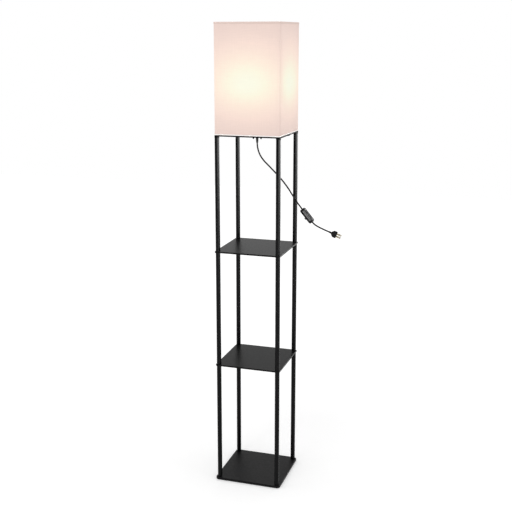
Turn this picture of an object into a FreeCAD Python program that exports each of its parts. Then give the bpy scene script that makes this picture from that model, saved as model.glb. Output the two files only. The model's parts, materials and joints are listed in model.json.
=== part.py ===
"""Shelf floor lamp: a heavy base plate, two shelves and a square fabric shade on four posts.

Millimetres, +Z up. The origin is the centre of the floor rectangle under the base.
The front is -Y, and the cord leaves through the right side, +X.
"""

import FreeCAD, Part

import math
import os

import Sketcher

Vector = FreeCAD.Vector
os.makedirs("parts", exist_ok=True)
doc = FreeCAD.newDocument("shelf_lamp")
sheet = doc.addObject("Spreadsheet::Sheet", "Sizes")


# ---------------------------------------------------------------------------
# Sizes: one cell of the sheet each. A Term carries a number and the expression
# that gives it, so that drawing code and bound properties never disagree.
# ---------------------------------------------------------------------------

class Term:
    def __init__(self, number, text):
        self.number = float(number)
        self.text = text

    def __add__(self, other):
        other = term(other)
        return Term(self.number + other.number, f"({self.text} + {other.text})")

    def __radd__(self, other):
        return term(other) + self

    def __sub__(self, other):
        other = term(other)
        return Term(self.number - other.number, f"({self.text} - {other.text})")

    def __rsub__(self, other):
        return term(other) - self

    def __mul__(self, factor):
        factor = term(factor)
        return Term(self.number * factor.number, f"({self.text} * {factor.text})")

    __rmul__ = __mul__

    def __truediv__(self, divisor):
        divisor = term(divisor)
        return Term(self.number / divisor.number, f"({self.text} / {divisor.text})")

    def __neg__(self):
        return Term(-self.number, f"(0 - {self.text})")


def term(value):
    return value if isinstance(value, Term) else Term(value, repr(float(value)))


rows = []


def size(alias, number, meaning):
    """Write one size into the next row of the sheet and hand back its Term."""
    row = len(rows) + 1
    rows.append(alias)
    sheet.set(f"A{row}", meaning)
    sheet.set(f"B{row}", str(number))
    sheet.setAlias(f"B{row}", alias)
    return Term(number, f"Sizes.{alias}")


# base
pad_thick = size("pad_thick", 1.5, "thickness of the felt pads under the base")
pad_radius = size("pad_radius", 10.0, "radius of a pad")
pad_inset = size("pad_inset", 23.0, "a pad's centre inside the nearest post's axis")
base_overhang = size("base_overhang", 13.0, "the base plate's edge beyond a post's axis")
base_thick = size("base_thick", 8.0, "thickness of the base plate")
base_corner = size("base_corner", 12.0, "corner radius of the base plate")
base_edge = size("base_edge", 1.6, "rounding of the base plate's upper edge")
base_chamfer = size("base_chamfer", 0.8, "chamfer of the base plate's lower edge")

# posts
post_offset = size("post_offset", 106.0, "a post's axis from each centre plane")
tube_radius = size("tube_radius", 8.0, "outer radius of the tubes")
tube_wall = size("tube_wall", 1.2, "wall of the tubes")
lower_tube = size("lower_tube", 426.0, "length of the four lowest tubes")
middle_tube = size("middle_tube", 404.0, "length of the tubes between the shelves")
upper_tube = size("upper_tube", 390.0, "length of the tubes under the top frame")
insert_length = size("insert_length", 18.0, "length of the threaded insert in a tube's end")
thread_radius = size("thread_radius", 4.0, "radius of the posts' thread")
frame_thread_radius = size("frame_thread_radius", 3.0, "radius of the top frame's screws")
pin_length = size("pin_length", 15.0, "a post's threaded pin below the shelf that it passes")
fit_gap = size("fit_gap", 0.1, "clearance of a fitted pin, thread or glued band")
hole_gap = size("hole_gap", 0.3, "radial clearance of a hole that a screw passes")

# shelves
shelf_overhang = size("shelf_overhang", 10.0, "a shelf's edge beyond a post's axis")
shelf_rim = size("shelf_rim", 5.0, "height of a shelf's turned-down rim")
shelf_sheet = size("shelf_sheet", 1.5, "sheet thickness of the shelves")
shelf_corner = size("shelf_corner", 6.0, "corner radius of the shelves")
shelf_edge = size("shelf_edge", 1.0, "rounding of a shelf's top edge")

# bolts and screws
bolt_head_radius = size("bolt_head_radius", 7.0, "radius of a base bolt's head")
bolt_head_height = size("bolt_head_height", 4.4, "height of a base bolt's head")
bolt_seat_depth = size("bolt_seat_depth", 5.0, "depth of a bolt head's seat in the base")
bolt_reach = size("bolt_reach", 14.0, "a base bolt's thread inside the post")
frame_head_radius = size("frame_head_radius", 5.25, "radius of a top-frame screw's head")
frame_head_height = size("frame_head_height", 2.4, "height of a top-frame screw's head")
frame_seat_depth = size("frame_seat_depth", 2.6, "depth of that head's seat in the frame")
frame_screw_reach = size("frame_screw_reach", 12.0, "a top-frame screw's thread inside the post")
socket_share = size("socket_share", 0.55, "a hexagon socket's radius against its head's")
socket_depth = size("socket_depth", 1.6, "depth of a hexagon socket")

# top frame and strap
frame_thick = size("frame_thick", 4.0, "thickness of the top frame")
frame_band = size("frame_band", 16.0, "width of the top frame's band")
frame_inner_corner = size("frame_inner_corner", 4.0, "inner corner radius of the top frame")
strap_width = size("strap_width", 24.0, "width of the cross strap")
strap_thick = size("strap_thick", 2.0, "thickness of the cross strap")
strap_drop = size("strap_drop", 7.0, "how far the strap's middle lies below its ends")
strap_end_inset = size("strap_end_inset", 2.0, "the strap's ends inside the frame's outline")
strap_joggle = size("strap_joggle", 11.0, "length of each joggle of the strap")
strap_bend_gap = size("strap_bend_gap", 1.0, "a joggle's start inside the frame's band")
small_thread_radius = size("small_thread_radius", 2.0, "radius of the small screws")
small_head_radius = size("small_head_radius", 3.5, "head radius of the small screws")
small_head_height = size("small_head_height", 2.4, "head height of the small screws")

# holder column and its screws
holder_screw_offset = size("holder_screw_offset", 13.5, "a holder screw from the lamp's axis")
nut_flats = size("nut_flats", 7.0, "width across flats of the cap nuts")
nut_hex_height = size("nut_hex_height", 3.2, "height of a cap nut's hexagon")
nut_cap_height = size("nut_cap_height", 4.8, "height of a cap nut's closed end")
nut_cap_radius = size("nut_cap_radius", 1.8, "radius of that end's tip")
flange_radius = size("flange_radius", 21.0, "radius of the column's flange")
flange_thick = size("flange_thick", 1.5, "thickness of the column's flange")
column_radius = size("column_radius", 8.0, "outer radius of the column")
column_wall = size("column_wall", 1.2, "wall of the column")
column_height = size("column_height", 79.0, "the column from its flange's foot to its shoulder")
neck_radius = size("neck_radius", 5.0, "radius of the column's threaded neck")
neck_height = size("neck_height", 8.0, "height of the threaded neck")
neck_bore = size("neck_bore", 3.4, "radius of the neck's bore")

# lampholder
holder_radius = size("holder_radius", 17.0, "outer radius of the lampholder")
holder_wall = size("holder_wall", 1.6, "wall of the lampholder's shells")
holder_foot_radius = size("holder_foot_radius", 11.0, "radius of the cap's foot")
holder_cap_height = size("holder_cap_height", 20.0, "height of the lampholder's cap")
holder_cone_height = size("holder_cone_height", 8.0, "height of the cap's cone")
holder_shell_height = size("holder_shell_height", 30.0, "height of the lampholder's shell")
holder_lip = size("holder_lip", 1.2, "how far the shell's lip stands out")
holder_lip_height = size("holder_lip_height", 3.0, "height of the shell's lip")
insulator_lift = size("insulator_lift", 1.8, "the insulator disc above the column's neck")
insulator_thick = size("insulator_thick", 6.0, "thickness of the insulator disc")
insulator_bore = size("insulator_bore", 3.0, "radius of the insulator's wire hole")
contact_shell_wall = size("contact_shell_wall", 0.5, "wall of the threaded contact shell")
contact_shell_height = size("contact_shell_height", 25.0, "height of the threaded contact shell")
contact_height = size("contact_height", 2.5, "height of the centre contact")
contact_radius = size("contact_radius", 4.0, "radius of the centre contact")

# bulb
bulb_cap_radius = size("bulb_cap_radius", 13.1, "radius of the bulb's threaded cap")
bulb_cap_height = size("bulb_cap_height", 24.0, "height of the bulb's threaded cap")
bulb_tip_radius = size("bulb_tip_radius", 4.6, "radius of the bulb's tip contact")
bulb_tip_chamfer = size("bulb_tip_chamfer", 1.5, "chamfer between the bulb's tip and its thread")
bulb_tip_height = size("bulb_tip_height", 2.0, "height of the bulb's tip")
bulb_radius = size("bulb_radius", 30.2, "radius of the bulb's globe")
bulb_length = size("bulb_length", 110.0, "the bulb from its tip to its top")
bulb_neck_radius = size("bulb_neck_radius", 12.4, "radius of the glass at the cap")
bulb_neck_height = size("bulb_neck_height", 4.0, "height of the glass's straight neck")
bulb_glass_wall = size("bulb_glass_wall", 1.0, "wall of the glass")

# shade
shade_overhang = size("shade_overhang", 7.0, "the shade's face beyond a post's axis")
shade_height = size("shade_height", 363.3, "height of the shade")
shade_corner = size("shade_corner", 6.0, "corner radius of the shade")
shade_wall = size("shade_wall", 1.0, "thickness of the laminated fabric")
rest_gap = size("rest_gap", 0.2, "seat clearance under the shade's lower edge")
trim_height = size("trim_height", 7.0, "height of the rolled trims")
trim_wall = size("trim_wall", 0.6, "how far a trim stands out")
band_height = size("band_height", 6.0, "height of the steel bands inside the shade")
band_thick = size("band_thick", 1.2, "thickness of those bands, the hub plate and its arms")
upright_radius = size("upright_radius", 1.25, "radius of the shade's corner wires")
hub_radius = size("hub_radius", 26.0, "radius of the shade's hub plate")
hub_bore = size("hub_bore", 6.3, "radius of the hub plate's centre hole")
arm_width = size("arm_width", 8.0, "width of an arm")
arm_foot = size("arm_foot", 6.0, "an arm's level length beside the hub plate")
arm_level = size("arm_level", 22.0, "an arm's level length beside the band")

# cord and strain relief
cord_radius = size("cord_radius", 2.5, "radius of the cord")
grip_length = size("grip_length", 20.0, "length of the strain relief below the strap")
grip_hole_radius = size("grip_hole_radius", 5.1, "radius of the strap's centre hole")
grip_flange_radius = size("grip_flange_radius", 7.0, "radius of the strain relief's flange")
grip_flange_thick = size("grip_flange_thick", 1.5, "thickness of that flange")
grip_root_radius = size("grip_root_radius", 4.8, "radius of the strain relief under its flange")
grip_tip_radius = size("grip_tip_radius", 3.4, "radius of the strain relief's end")
grip_lip = size("grip_lip", 0.6, "how far the snap lip stands out above the strap")
grip_lip_height = size("grip_lip_height", 1.0, "height of the snap lip")

# inline switch
switch_length = size("switch_length", 57.0, "length of the inline switch")
switch_width = size("switch_width", 19.0, "width of the inline switch")
switch_half = size("switch_half", 8.5, "height of each of the switch's shells")
switch_wall = size("switch_wall", 1.8, "wall of the switch's shells")
switch_corner = size("switch_corner", 7.0, "corner radius of the switch in plan")
switch_edge = size("switch_edge", 3.0, "rounding of the switch's long edges")
window_length = size("window_length", 22.4, "length of the rocker's window")
window_width = size("window_width", 10.0, "width of the rocker's window")
window_corner = size("window_corner", 0.8, "corner radius of the rocker's window")
rocker_gap = size("rocker_gap", 0.3, "the rocker's clearance at each side of its window")
rocker_pivot = size("rocker_pivot", 4.0, "the rocker's pivot above the parting plane")
rocker_reach = size("rocker_reach", 9.8, "a rocker end's distance from its middle")
rocker_apex = size("rocker_apex", 4.6, "the rocker's middle above its pivot")
rocker_rise = size("rocker_rise", 1.9, "a rocker end above its middle")
rocker_swell = size("rocker_swell", 0.6, "how far the rocker's ends swell below the top")
rocker_swell_height = size("rocker_swell_height", 3.0, "the swell above the rocker's pivot")
rocker_belly = size("rocker_belly", 0.5, "the rocker's underside below its pivot")
rocker_nub = size("rocker_nub", 2.4, "the rocker's nub below its pivot")
rocker_nub_root = size("rocker_nub_root", 3.5, "half the nub's length at its root")
rocker_nub_tip = size("rocker_nub_tip", 2.4, "half the nub's length at its tip")
rocker_tilt = size("rocker_tilt", 11.0, "the rocker's tilt to either side, in degrees")
pivot_radius = size("pivot_radius", 1.0, "radius of the rocker's pin")
pivot_seat = size("pivot_seat", 1.0, "depth of the pin's seats in the walls")
rib_count = size("rib_count", 11, "number of grip grooves along each side")
rib_pitch = size("rib_pitch", 3.6, "distance from groove to groove")
rib_width = size("rib_width", 1.2, "width of a grip groove")
rib_depth = size("rib_depth", 0.8, "depth of a grip groove")
boss_radius = size("boss_radius", 3.0, "radius of the screw bosses")
boss_offset = size("boss_offset", 20.0, "a screw boss from the switch's middle")
case_screw_radius = size("case_screw_radius", 1.3, "radius of the housing screws")
case_head_radius = size("case_head_radius", 2.3, "head radius of the housing screws")
case_head_height = size("case_head_height", 1.4, "head height of the housing screws")
case_screw_reach = size("case_screw_reach", 3.7, "the housing screws above the parting plane")
strip_thick = size("strip_thick", 0.6, "thickness of the contact strips")
strip_width = size("strip_width", 5.0, "width of the contact strips")
strip_length = size("strip_length", 12.0, "length of a contact strip's foot")
strip_height = size("strip_height", 4.6, "height of a contact strip's upright")
strip_spread = size("strip_spread", 3.0, "a contact strip's upright from the switch's middle")
cord_entry = size("cord_entry", 4.0, "the cord's length inside the switch")
switch_roll = size("switch_roll", 8.0, "how far the switch is rolled back on its cord, in degrees")

# plug
plug_roll = size("plug_roll", 35.0, "how far the plug is rolled on its cord, in degrees")
plug_neck_length = size("plug_neck_length", 8.0, "length of the plug's neck")
plug_neck_radius = size("plug_neck_radius", 3.2, "radius of the plug's neck at the cord")
plug_shoulder = size("plug_shoulder", 7.0, "length of the plug's shoulder")
plug_body_length = size("plug_body_length", 12.0, "length of the plug's full body")
plug_body_width = size("plug_body_width", 24.0, "width of the plug's body, across both blades")
plug_body_depth = size("plug_body_depth", 15.0, "depth of the plug's body")
plug_body_corner = size("plug_body_corner", 5.0, "corner radius of the plug's body")
plug_throat_width = size("plug_throat_width", 9.0, "width of the shoulder at the neck")
plug_throat_depth = size("plug_throat_depth", 7.5, "depth of the shoulder at the neck")
plug_throat_corner = size("plug_throat_corner", 3.0, "corner radius of the shoulder at the neck")
blade_length = size("blade_length", 16.0, "a blade outside the plug")
blade_root = size("blade_root", 6.0, "a blade inside the plug")
blade_width = size("blade_width", 6.35, "width of a blade")
blade_thick = size("blade_thick", 1.5, "thickness of a blade")
blade_pitch = size("blade_pitch", 12.7, "distance between the two blades")
blade_hole_radius = size("blade_hole_radius", 1.6, "radius of the hole near a blade's tip")
blade_hole_inset = size("blade_hole_inset", 4.4, "that hole's centre from the blade's tip")

doc.recompute()

# Sides and levels, from the floor up.
base_side = 2 * (post_offset + base_overhang)
base_bottom = pad_thick
base_top = base_bottom + base_thick
shelf_side = 2 * (post_offset + shelf_overhang)
shade_side = 2 * (post_offset + shade_overhang)
middle_shelf_top = base_top + lower_tube + shelf_sheet
upper_shelf_top = middle_shelf_top + middle_tube + shelf_sheet
frame_bottom = upper_shelf_top + upper_tube
frame_top = frame_bottom + frame_thick
shade_bottom = frame_top + rest_gap
strap_top = frame_bottom - strap_drop
strap_bottom = strap_top - strap_thick
hub_top = strap_top + band_thick
flange_top = hub_top + flange_thick
column_shoulder = hub_top + column_height
insulator_bottom = column_shoulder + neck_height + insulator_lift
insulator_top = insulator_bottom + insulator_thick
bulb_bottom = insulator_top + contact_height
cord_exit = strap_bottom - grip_length

CORNERS = {
    "front_left": (-1, -1),
    "front_right": (1, -1),
    "back_right": (1, 1),
    "back_left": (-1, 1),
}

# The free cord's corner points, chosen by hand and counted from the end of its strain relief:
# straight down at first, then out through the right side between its two posts. The switch
# lies between the two routes, on the line of the last run of one and the first of the other.
UPPER_ROUTE = [
    (0.0, 0.0, 0.0),
    (0.0, 0.0, -18.0),
    (14.5, -1.0, -52.0),
    (51.0, -3.5, -84.5),
    (103.0, -6.0, -135.5),
    (140.3, -6.0, -193.7),
    (160.9, -6.0, -218.2),
]
LOWER_ROUTE = [
    (197.5, -6.0, -261.8),
    (202.3, -6.0, -267.5),
    (218.0, -5.0, -276.8),
    (238.5, -3.0, -285.7),
    (255.0, -1.0, -292.5),
]


# ---------------------------------------------------------------------------
# Small helpers: binding, placing, sketching
# ---------------------------------------------------------------------------

def bind(item, name, value):
    item.setExpression(name, term(value).text)


def place(item, x=None, y=None, z=None):
    for axis, value in (("x", x), ("y", y), ("z", z)):
        if value is not None:
            bind(item, f".Placement.Base.{axis}", value)


def box(name, length, width, height, corner):
    item = doc.addObject("Part::Box", name)
    bind(item, "Length", length)
    bind(item, "Width", width)
    bind(item, "Height", height)
    place(item, *corner)
    return item


def cylinder(name, radius, height, foot):
    item = doc.addObject("Part::Cylinder", name)
    bind(item, "Radius", radius)
    bind(item, "Height", height)
    place(item, *foot)
    return item


def prism(name, circumradius, height, foot):
    item = doc.addObject("Part::Prism", name)
    item.Polygon = 6
    bind(item, "Circumradius", circumradius)
    bind(item, "Height", height)
    place(item, *foot)
    return item


def cut(name, base, tool):
    item = doc.addObject("Part::Cut", name)
    item.Base = base
    item.Tool = tool
    return item


def fuse(name, pieces):
    item = doc.addObject("Part::MultiFuse", name)
    item.Shapes = pieces
    return item


def group(name, pieces):
    item = doc.addObject("Part::Compound", name)
    item.Links = pieces
    return item


def new_body(name, z=None):
    body = doc.addObject("PartDesign::Body", name)
    place(body, z=z)
    return body


def new_sketch(body, name, plane="XY_Plane", lift=None):
    sketch = body.newObject("Sketcher::SketchObject", name)
    support = next(f for f in body.Origin.OriginFeatures if f.Role == plane)
    sketch.AttachmentSupport = (support, [""])
    sketch.MapMode = "FlatFace"
    if lift is not None:
        bind(sketch, "AttachmentOffset.Base.z", lift)
    return sketch


def pin_point(sketch, geometry, end, x, y):
    """Fix one end (1 or 2) or the centre (3) of a geometry at x, y."""
    for kind, value in (("DistanceX", term(x)), ("DistanceY", term(y))):
        index = sketch.addConstraint(
            Sketcher.Constraint(kind, -1, 1, geometry, end, value.number))
        bind(sketch, f"Constraints[{index}]", value)


def flat(x, y):
    return Vector(term(x).number, term(y).number, 0)


def polygon(sketch, corners):
    """A closed outline of straight lines, each corner bound to the sheet."""
    first = sketch.GeometryCount
    count = len(corners)
    for i in range(count):
        here = flat(*corners[i])
        after = flat(*corners[(i + 1) % count])
        sketch.addGeometry(Part.LineSegment(here, after), False)
    for i in range(count):
        sketch.addConstraint(Sketcher.Constraint(
            "Coincident", first + i, 2, first + (i + 1) % count, 1))
    for i in range(count):
        pin_point(sketch, first + i, 1, *corners[i])


def rectangle(sketch, width, height, x=0.0, y=0.0):
    polygon(sketch, [
        (x - width / 2, y - height / 2),
        (x + width / 2, y - height / 2),
        (x + width / 2, y + height / 2),
        (x - width / 2, y + height / 2),
    ])


def rounded_rectangle(sketch, width, height, radius):
    """A rectangle about the sketch's origin whose corners are arcs of the given radius."""
    half_x = width / 2
    half_y = height / 2
    in_x = half_x - radius
    in_y = half_y - radius
    sides = [
        ((-in_x, -half_y), (in_x, -half_y)),
        ((half_x, -in_y), (half_x, in_y)),
        ((in_x, half_y), (-in_x, half_y)),
        ((-half_x, in_y), (-half_x, -in_y)),
    ]
    centres = [(in_x, -in_y), (in_x, in_y), (-in_x, in_y), (-in_x, -in_y)]
    first = sketch.GeometryCount
    for start, end in sides:
        sketch.addGeometry(Part.LineSegment(flat(*start), flat(*end)), False)
    for i, centre in enumerate(centres):
        circle = Part.Circle(flat(*centre), Vector(0, 0, 1), term(radius).number)
        turn = (i - 1) * math.pi / 2
        sketch.addGeometry(Part.ArcOfCircle(circle, turn, turn + math.pi / 2), False)
    for i, (start, end) in enumerate(sides):
        pin_point(sketch, first + i, 1, *start)
        pin_point(sketch, first + i, 2, *end)
        arc = first + 4 + i
        sketch.addConstraint(Sketcher.Constraint("Coincident", first + i, 2, arc, 1))
        sketch.addConstraint(
            Sketcher.Constraint("Coincident", arc, 2, first + (i + 1) % 4, 1))
        index = sketch.addConstraint(
            Sketcher.Constraint("Radius", arc, term(radius).number))
        bind(sketch, f"Constraints[{index}]", radius)


def circle(sketch, radius, x=0.0, y=0.0):
    geometry = sketch.GeometryCount
    sketch.addGeometry(
        Part.Circle(flat(x, y), Vector(0, 0, 1), term(radius).number), False)
    pin_point(sketch, geometry, 3, x, y)
    index = sketch.addConstraint(
        Sketcher.Constraint("Radius", geometry, term(radius).number))
    bind(sketch, f"Constraints[{index}]", radius)


# ---------------------------------------------------------------------------
# Small helpers: solid features of a body
# ---------------------------------------------------------------------------

def pad(body, sketch, length, downward=False, symmetric=False):
    feature = body.newObject("PartDesign::Pad", sketch.Name + "_pad")
    feature.Profile = sketch
    bind(feature, "Length", length)
    feature.Reversed = downward
    if symmetric:
        feature.SideType = "Symmetric"
    doc.recompute()
    return feature


def pocket(body, sketch, depth=None, upward=False, symmetric=False):
    """Cut a sketch out of the body and check that the cut removed something."""
    before = body.Shape.Volume
    feature = body.newObject("PartDesign::Pocket", sketch.Name + "_pocket")
    feature.Profile = sketch
    if depth is None:
        feature.Type = "ThroughAll"
        feature.SideType = "Symmetric"
    else:
        bind(feature, "Length", depth)
        feature.Reversed = upward
        if symmetric:
            feature.SideType = "Symmetric"
    doc.recompute()
    must_shrink(body, before, feature.Name)
    return feature


def must_shrink(body, before, name):
    if not body.Shape.Volume < before - 1e-3:
        raise RuntimeError(f"{name} cuts nothing")


def four_times(body, feature, sketch):
    """Repeat a cut at all four corners, about the lamp's axis."""
    before = body.Shape.Volume
    pattern = body.newObject("PartDesign::PolarPattern", feature.Name + "_ring")
    pattern.Originals = [feature]
    pattern.Axis = (sketch, ["N_Axis"])
    pattern.Angle = 360
    pattern.Occurrences = 4
    body.Tip = pattern
    doc.recompute()
    must_shrink(body, before, pattern.Name)
    return pattern


def edges_at(shape, level):
    """Names of the edges that lie whole in the horizontal plane at a level."""
    found = []
    for i, edge in enumerate(shape.Edges):
        bound = edge.BoundBox
        if abs(bound.ZMin - level) < 1e-4 and abs(bound.ZMax - level) < 1e-4:
            found.append(f"Edge{i + 1}")
    return found


def fillet(body, feature, names, radius):
    item = body.newObject("PartDesign::Fillet", feature.Name + "_round")
    item.Base = (feature, names)
    bind(item, "Radius", radius)
    doc.recompute()
    return item


def chamfer(body, feature, names, width):
    item = body.newObject("PartDesign::Chamfer", feature.Name + "_chamfer")
    item.Base = (feature, names)
    bind(item, "Size", width)
    doc.recompute()
    return item


def revolve(body, sketch):
    feature = body.newObject("PartDesign::Revolution", sketch.Name + "_turned")
    feature.Profile = sketch
    feature.ReferenceAxis = (sketch, ["V_Axis"])
    feature.Angle = 360
    doc.recompute()
    return feature


def turned(name, corners, z):
    """A body of revolution about the lamp's axis, from (radius, height) corners."""
    body = new_body(name, z)
    sketch = new_sketch(body, name + "_profile", "XZ_Plane")
    polygon(sketch, corners)
    revolve(body, sketch)
    return body


# ---------------------------------------------------------------------------
# Small helpers: cords
# ---------------------------------------------------------------------------

def rounded_route(points, radius_of):
    """Straight runs joined by tangent arcs. radius_of(shorter run, half turn) sizes each arc."""
    edges = []
    radii = []
    start = points[0]
    for before, corner, after in zip(points, points[1:], points[2:]):
        run_in = corner - before
        run_out = after - corner
        half_turn = run_in.getAngle(run_out) / 2
        radius = radius_of(min(run_in.Length, run_out.Length), half_turn)
        setback = radius * math.tan(half_turn)
        leave = corner - Vector(run_in).normalize() * setback
        enter = corner + Vector(run_out).normalize() * setback
        inward = (Vector(run_out).normalize() - Vector(run_in).normalize()).normalize()
        middle = corner + inward * (radius / math.cos(half_turn) - radius)
        edges.append(Part.LineSegment(start, leave).toShape())
        edges.append(Part.Arc(leave, middle, enter).toShape())
        radii.append(radius)
        start = enter
    edges.append(Part.LineSegment(start, points[-1]).toShape())
    return Part.Wire(edges), radii


def pipe(path, radius, start, along):
    section = Part.Wire([Part.makeCircle(radius, start, along)])
    return path.makePipeShell([section], True, False)


def shape_object(name, shape):
    item = doc.addObject("Part::Feature", name)
    item.Shape = shape
    return item


# ---------------------------------------------------------------------------
# Base
# ---------------------------------------------------------------------------

def make_base():
    body = new_body("base_plate", base_bottom)
    outline = new_sketch(body, "base_outline")
    rounded_rectangle(outline, base_side, base_side, base_corner)
    plate = pad(body, outline, base_thick)
    rounded = fillet(body, plate, edges_at(plate.Shape, base_thick.number), base_edge)
    chamfer(body, rounded, edges_at(rounded.Shape, 0.0), base_chamfer)
    hole = new_sketch(body, "base_hole")
    circle(hole, thread_radius + hole_gap, post_offset, post_offset)
    four_times(body, pocket(body, hole), hole)
    seat = new_sketch(body, "base_seat")
    circle(seat, bolt_head_radius + hole_gap, post_offset, post_offset)
    four_times(body, pocket(body, seat, bolt_seat_depth, upward=True), seat)
    return [body]


def make_base_pads():
    pads = []
    pad_offset = post_offset - pad_inset
    for corner, (sx, sy) in CORNERS.items():
        foot = (pad_offset * sx, pad_offset * sy, 0.0)
        pads.append(cylinder("pad_" + corner, pad_radius, pad_thick, foot))
    return [group("base_pads", pads)]


def cap_screw(name, head_radius, head_height, shank_radius, shank_length, x, y, seat, upward):
    """A screw with a hexagon socket. Its head rests on the level seat; upward says which way
    its shank points."""
    head_z = seat - head_height if upward else seat
    shank_z = seat if upward else seat - shank_length
    socket_z = head_z if upward else head_z + head_height - socket_depth
    head = cylinder(name + "_head", head_radius, head_height, (x, y, head_z))
    shank = cylinder(name + "_shank", shank_radius, shank_length, (x, y, shank_z))
    socket = prism(name + "_socket", head_radius * socket_share, socket_depth, (x, y, socket_z))
    return cut(name, fuse(name + "_solid", [head, shank]), socket)


def make_base_bolts():
    seat = base_bottom + bolt_seat_depth
    length = base_top + bolt_reach - seat
    bolts = []
    for corner, (sx, sy) in CORNERS.items():
        bolts.append(cap_screw(
            "bolt_" + corner, bolt_head_radius, bolt_head_height, thread_radius - fit_gap,
            length, post_offset * sx, post_offset * sy, seat, upward=True))
    return [group("base_bolts", bolts)]


# ---------------------------------------------------------------------------
# Posts: three tiers. Each section is a tube with a threaded insert welded into its
# top. Its foot has another insert, or a pin that passes a shelf into the section below.
# ---------------------------------------------------------------------------

def post_profile(length, foot_is_pin, top_thread):
    """(radius, height) corners of one section, from its foot up the outside and down again."""
    inner = tube_radius - tube_wall
    if foot_is_pin:
        pin = thread_radius - fit_gap
        tip = -(pin_length + shelf_sheet)
        foot = [(0.0, insert_length), (0.0, tip), (pin, tip), (pin, 0.0), (tube_radius, 0.0)]
    else:
        foot = [(thread_radius, insert_length), (thread_radius, 0.0), (tube_radius, 0.0)]
    return foot + [
        (tube_radius, length), (top_thread, length), (top_thread, length - insert_length),
        (inner, length - insert_length), (inner, insert_length),
    ]


def make_posts():
    tiers = {
        "lower": (base_top, post_profile(lower_tube, False, thread_radius)),
        "middle": (middle_shelf_top, post_profile(middle_tube, True, thread_radius)),
        "upper": (upper_shelf_top, post_profile(upper_tube, True, frame_thread_radius)),
    }
    sections = []
    for tier, (foot, profile) in tiers.items():
        for corner, (sx, sy) in CORNERS.items():
            body = turned(f"{tier}_post_{corner}", profile, foot)
            place(body, post_offset * sx, post_offset * sy)
            sections.append(body)
    return sections


# ---------------------------------------------------------------------------
# Shelves: pressed trays whose rim is turned down round the posts' outer faces
# ---------------------------------------------------------------------------

def make_shelf(name, top):
    body = new_body(name, top - shelf_rim)
    outline = new_sketch(body, name + "_outline")
    rounded_rectangle(outline, shelf_side, shelf_side, shelf_corner)
    block = pad(body, outline, shelf_rim)
    fillet(body, block, edges_at(block.Shape, shelf_rim.number), shelf_edge)
    hollow = new_sketch(body, name + "_hollow")
    inner_side = shelf_side - 2 * shelf_sheet
    rounded_rectangle(hollow, inner_side, inner_side, shelf_corner - shelf_sheet)
    pocket(body, hollow, shelf_rim - shelf_sheet, upward=True)
    hole = new_sketch(body, name + "_hole")
    circle(hole, thread_radius + hole_gap, post_offset, post_offset)
    four_times(body, pocket(body, hole), hole)
    return [body]


# ---------------------------------------------------------------------------
# Top frame, its screws and the cross strap
# ---------------------------------------------------------------------------

def make_top_frame():
    body = new_body("top_frame", frame_bottom)
    ring = new_sketch(body, "frame_outline")
    outer = 2 * (post_offset + tube_radius)
    inner = outer - 2 * frame_band
    rounded_rectangle(ring, outer, outer, tube_radius)
    rounded_rectangle(ring, inner, inner, frame_inner_corner)
    pad(body, ring, frame_thick)
    hole = new_sketch(body, "frame_hole")
    circle(hole, frame_thread_radius + hole_gap, post_offset, post_offset)
    four_times(body, pocket(body, hole), hole)
    depth = frame_thick - frame_seat_depth
    seat = new_sketch(body, "frame_seat", lift=depth)
    circle(seat, frame_head_radius + hole_gap, post_offset, post_offset)
    four_times(body, pocket(body, seat, frame_seat_depth, upward=True), seat)
    return [body]


def make_frame_screws():
    seat = frame_top - frame_seat_depth
    length = seat - frame_bottom + frame_screw_reach
    screws = []
    for corner, (sx, sy) in CORNERS.items():
        screws.append(cap_screw(
            "frame_screw_" + corner, frame_head_radius, frame_head_height,
            frame_thread_radius - fit_gap, length,
            post_offset * sx, post_offset * sy, seat, upward=False))
    return [group("frame_screws", screws)]


def make_strap():
    """A flat strap welded under the frame, joggled down just inside it, bored for cord and
    screws."""
    body = new_body("cross_strap", frame_bottom)
    side = new_sketch(body, "strap_side", "XZ_Plane")
    tip = post_offset + tube_radius - strap_end_inset
    high = post_offset + tube_radius - frame_band - strap_bend_gap
    low = high - strap_joggle
    polygon(side, [
        (-tip, -strap_thick), (-high, -strap_thick), (-low, -strap_drop - strap_thick),
        (low, -strap_drop - strap_thick), (high, -strap_thick), (tip, -strap_thick),
        (tip, 0.0), (high, 0.0), (low, -strap_drop), (-low, -strap_drop), (-high, 0.0),
        (-tip, 0.0),
    ])
    pad(body, side, strap_width, symmetric=True)
    holes = new_sketch(body, "strap_holes")
    circle(holes, grip_hole_radius)
    for side in (-1, 1):
        circle(holes, small_thread_radius + hole_gap, holder_screw_offset * side)
    pocket(body, holes)
    return [body]


# ---------------------------------------------------------------------------
# Holder column, its two screws and the cap nuts that show under the frame
# ---------------------------------------------------------------------------

def make_column():
    inner = column_radius - column_wall
    body = turned("holder_column", [
        (inner, 0.0), (flange_radius, 0.0), (flange_radius, flange_thick),
        (column_radius, flange_thick), (column_radius, column_height),
        (neck_radius, column_height), (neck_radius, column_height + neck_height),
        (neck_bore, column_height + neck_height), (neck_bore, column_height - column_wall),
        (inner, column_height - column_wall),
    ], hub_top)
    holes = new_sketch(body, "flange_holes")
    for side in (-1, 1):
        circle(holes, small_thread_radius + hole_gap, holder_screw_offset * side)
    pocket(body, holes, flange_thick, upward=True)
    return [body]


def make_holder_screws():
    length = flange_top - strap_bottom + nut_hex_height
    pieces = []
    for side in (-1, 1):
        name = f"holder_screw_{len(pieces) + 1}"
        x = holder_screw_offset * side
        head = cylinder(name + "_head", small_head_radius, small_head_height, (x, 0.0, flange_top))
        shank = cylinder(
            name + "_shank", small_thread_radius - fit_gap, length, (x, 0.0, flange_top - length))
        pieces.append(fuse(name, [head, shank]))
    return [group("holder_screws", pieces)]


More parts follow.
